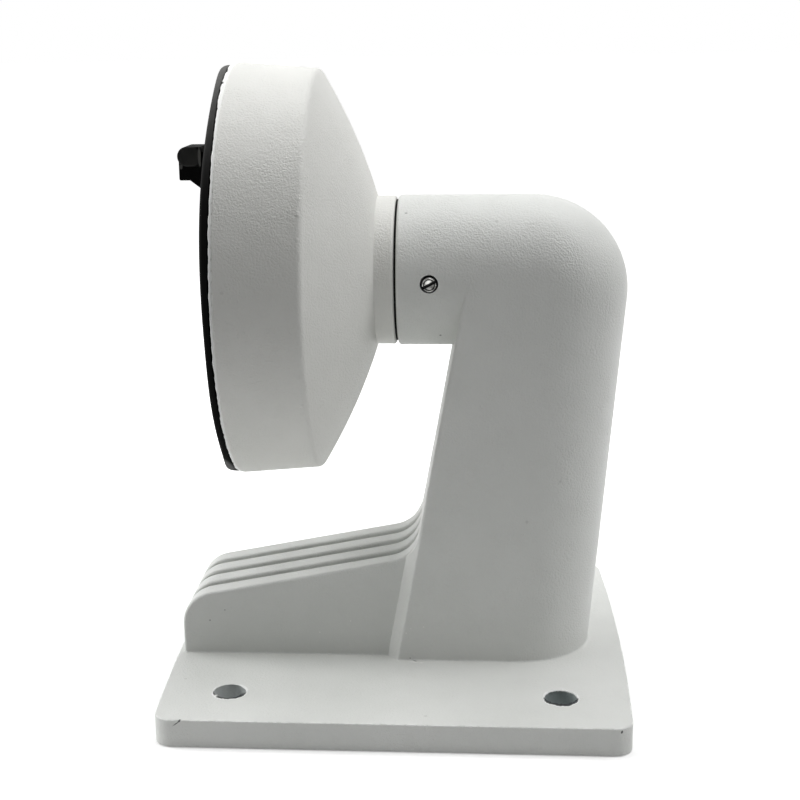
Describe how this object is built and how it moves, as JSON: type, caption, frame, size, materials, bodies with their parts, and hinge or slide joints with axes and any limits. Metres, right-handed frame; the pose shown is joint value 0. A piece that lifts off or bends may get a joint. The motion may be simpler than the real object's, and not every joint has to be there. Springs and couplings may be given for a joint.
{
  "type": "camera wall bracket",
  "caption": "Bent hollow wall bracket for a small dome camera, with a ribbed wall plate and a round plug-in dish that has a rubber gasket.",
  "frame": {"origin": "centre of the four wall holes in the wall plate's back face", "axes": "+Z away from the wall, -X the way the dish looks, Y across the bracket"},
  "size_m": [0.124, 0.12, 0.1674],
  "materials": {
    "arm_paint": "fine orange-peel powder coat, pale grey-white",
    "dish_paint": "orange-peel powder coat, slightly warmer grey-white",
    "gasket_rubber": "matt black",
    "hook_plastic": "black, slightly shiny",
    "screw_steel": "dull turned steel"
  },
  "bodies": {
    "root": {"arm_casting": "arm_paint", "dish": "dish_paint", "dish_gasket": "gasket_rubber", "neck_seal": "gasket_rubber", "camera_hook": "hook_plastic", "hook_screw": "screw_steel", "set_screw_front": "screw_steel", "set_screw_rear": "screw_steel"}
  },
  "joints": []
}
